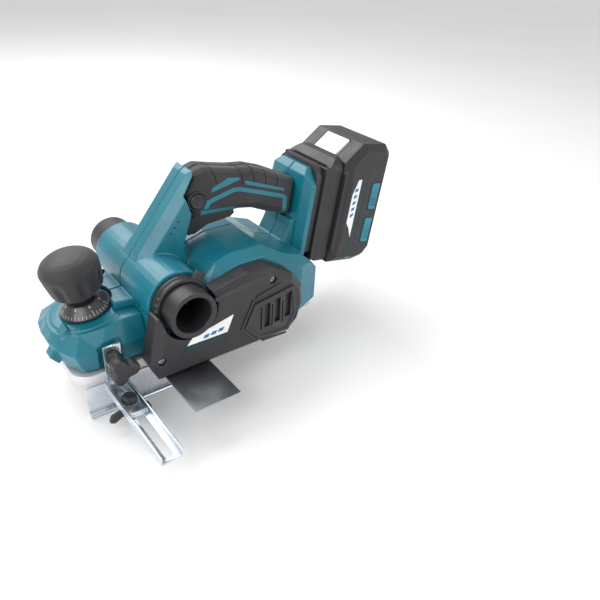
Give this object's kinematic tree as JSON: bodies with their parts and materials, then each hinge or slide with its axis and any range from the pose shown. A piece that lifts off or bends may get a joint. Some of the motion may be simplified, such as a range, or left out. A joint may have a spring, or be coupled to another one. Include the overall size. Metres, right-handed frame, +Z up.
{
  "type": "electric hand planer",
  "caption": "Cordless electric hand planer with adjustable front shoe, belt-driven cutter drum, chip outlet, edge fence and slide-on battery.",
  "frame": {"origin": "on the underside of the rear sole, on the machine's middle plane, 50 mm behind the sole's front edge", "axes": "+Z up, -X forwards in the planing direction towards the depth knob, -Y towards the belt cover and the fence arm"},
  "size_m": [0.32, 0.215, 0.1705],
  "materials": {
    "teal_housing": "moulded plastic, light satin texture",
    "teal_rubber": "soft moulded rubber",
    "black_plastic": "moulded plastic, fine matt texture",
    "black_rubber": "soft-touch moulding",
    "white_plastic": "smooth moulded plastic",
    "aluminium": "milled casting",
    "brushed_steel": "ground steel",
    "zinc_plate": "bright zinc plate on pressed steel",
    "motor_windings": "copper and lacquer",
    "cell_sleeve": "sleeved cells, whose mean density is close to that of aluminium"
  },
  "bodies": {
    "machine": {"rear_sole": "aluminium", "left_housing": "teal_housing", "right_housing": "teal_housing", "knob_housing": "teal_housing", "drum_side_cover": "black_plastic", "grip_left": "black_rubber", "grip_right": "black_rubber", "switch_body": "black_plastic", "drum_bearing_left": "brushed_steel", "drum_bearing_right": "brushed_steel", "motor_bearing_left": "brushed_steel", "motor_bearing_right": "brushed_steel", "motor_stator": "brushed_steel", "belt_cover": "black_plastic", "cover_screw_1": "brushed_steel", "cover_screw_2": "brushed_steel", "cover_screw_3": "brushed_steel", "battery_mount": "black_plastic", "battery_terminals": "motor_windings", "fence_bracket": "zinc_plate", "fence_bolt": "black_plastic", "side_plate": "brushed_steel", "drive_belt": "black_rubber"},
    "shoe": {"front_shoe": "aluminium"},
    "knob": {"depth_knob": "black_rubber", "depth_dial": "black_plastic", "depth_screw": "brushed_steel"},
    "cutter": {"cutter_drum": "brushed_steel", "blade_1": "brushed_steel", "blade_2": "brushed_steel", "blade_clamp_1": "aluminium", "blade_clamp_2": "aluminium", "drum_pulley": "aluminium"},
    "motor": {"motor_rotor": "motor_windings", "motor_fan": "black_plastic", "motor_pulley": "aluminium"},
    "trigger_piece": {"trigger": "black_plastic"},
    "lock_off": {"lock_off_button": "black_plastic"},
    "lock_ring": {"nozzle_lock_ring": "black_plastic"},
    "nozzle": {"dust_nozzle": "black_plastic"},
    "plug": {"duct_plug": "black_plastic"},
    "battery": {"battery_upper_case": "black_plastic", "battery_lower_case": "black_plastic", "cell_block": "cell_sleeve", "battery_pad_1": "teal_rubber", "battery_pad_2": "teal_rubber", "battery_pad_3": "teal_rubber", "battery_pad_4": "teal_rubber"},
    "release": {"release_button": "white_plastic"},
    "fence": {"guide_fence": "zinc_plate"},
    "wing_bolt": {"fence_wing_bolt": "black_plastic"},
    "wing_nut": {"fence_wing_nut": "black_plastic"}
  },
  "joints": [
    {"name": "depth_turn", "type": "hinge", "parent": "machine", "child": "knob", "pos_m": [-0.114, 0, 0.043], "axis": [-0.2079, 0, 0.9781], "range_deg": [0, 300]},
    {"name": "shoe_lift", "type": "slide", "parent": "machine", "child": "shoe", "axis": [-0.2079, 0, 0.9781], "range_m": [0, 0.002]},
    {"name": "cutter_spin", "type": "hinge", "parent": "machine", "child": "cutter", "pos_m": [-0.058, 0, 0.022], "axis": [0, 1, 0], "continuous": true},
    {"name": "motor_spin", "type": "hinge", "parent": "machine", "child": "motor", "pos_m": [0.014, 0, 0.043], "axis": [0, 1, 0], "continuous": true},
    {"name": "trigger_pull", "type": "hinge", "parent": "machine", "child": "trigger_piece", "pos_m": [-0.024, 0, 0.1], "axis": [0, -1, 0], "range_deg": [0, 6], "stiffness_Nm_per_rad": 0.25, "springref_deg": -11.46},
    {"name": "lock_off_push", "type": "slide", "parent": "machine", "child": "lock_off", "axis": [0, 1, 0], "range_m": [0, 0.0025], "stiffness_N_per_m": 800, "springref_m": -0.001},
    {"name": "lock_ring_turn", "type": "hinge", "parent": "machine", "child": "lock_ring", "pos_m": [-0.06, 0, 0.057], "axis": [0, -1, 0], "range_deg": [0, 25]},
    {"name": "nozzle_pull", "type": "slide", "parent": "machine", "child": "nozzle", "axis": [0, -1, 0], "range_m": [0, 0.03]},
    {"name": "plug_pull", "type": "slide", "parent": "machine", "child": "plug", "axis": [0, 1, 0], "range_m": [0, 0.03]},
    {"name": "battery_lift", "type": "slide", "parent": "machine", "child": "battery", "axis": [0.1478, 0, 0.989], "range_m": [0, 0.09]},
    {"name": "release_push", "type": "slide", "parent": "battery", "child": "release", "axis": [0.5713, 0, -0.8208], "range_m": [0, 0.002], "stiffness_N_per_m": 1000, "springref_m": -0.001},
    {"name": "fence_slide", "type": "slide", "parent": "machine", "child": "fence", "axis": [0, 1, 0], "range_m": [-0.008, 0.058]},
    {"name": "wing_bolt_turn", "type": "hinge", "parent": "machine", "child": "wing_bolt", "pos_m": [-0.1135, -0.052, 0.022], "axis": [0, 1, 0], "range_deg": [-180, 180]},
    {"name": "wing_nut_turn", "type": "hinge", "parent": "machine", "child": "wing_nut", "pos_m": [-0.1135, -0.068, -0.0078], "axis": [0, 0, 1], "range_deg": [-180, 180]}
  ],
  "couplings": [
    {"joint": "depth_turn", "follows": "shoe_lift", "rad_per_m": 2600},
    {"joint": "motor_spin", "follows": "cutter_spin", "ratio": 0.76}
  ]
}
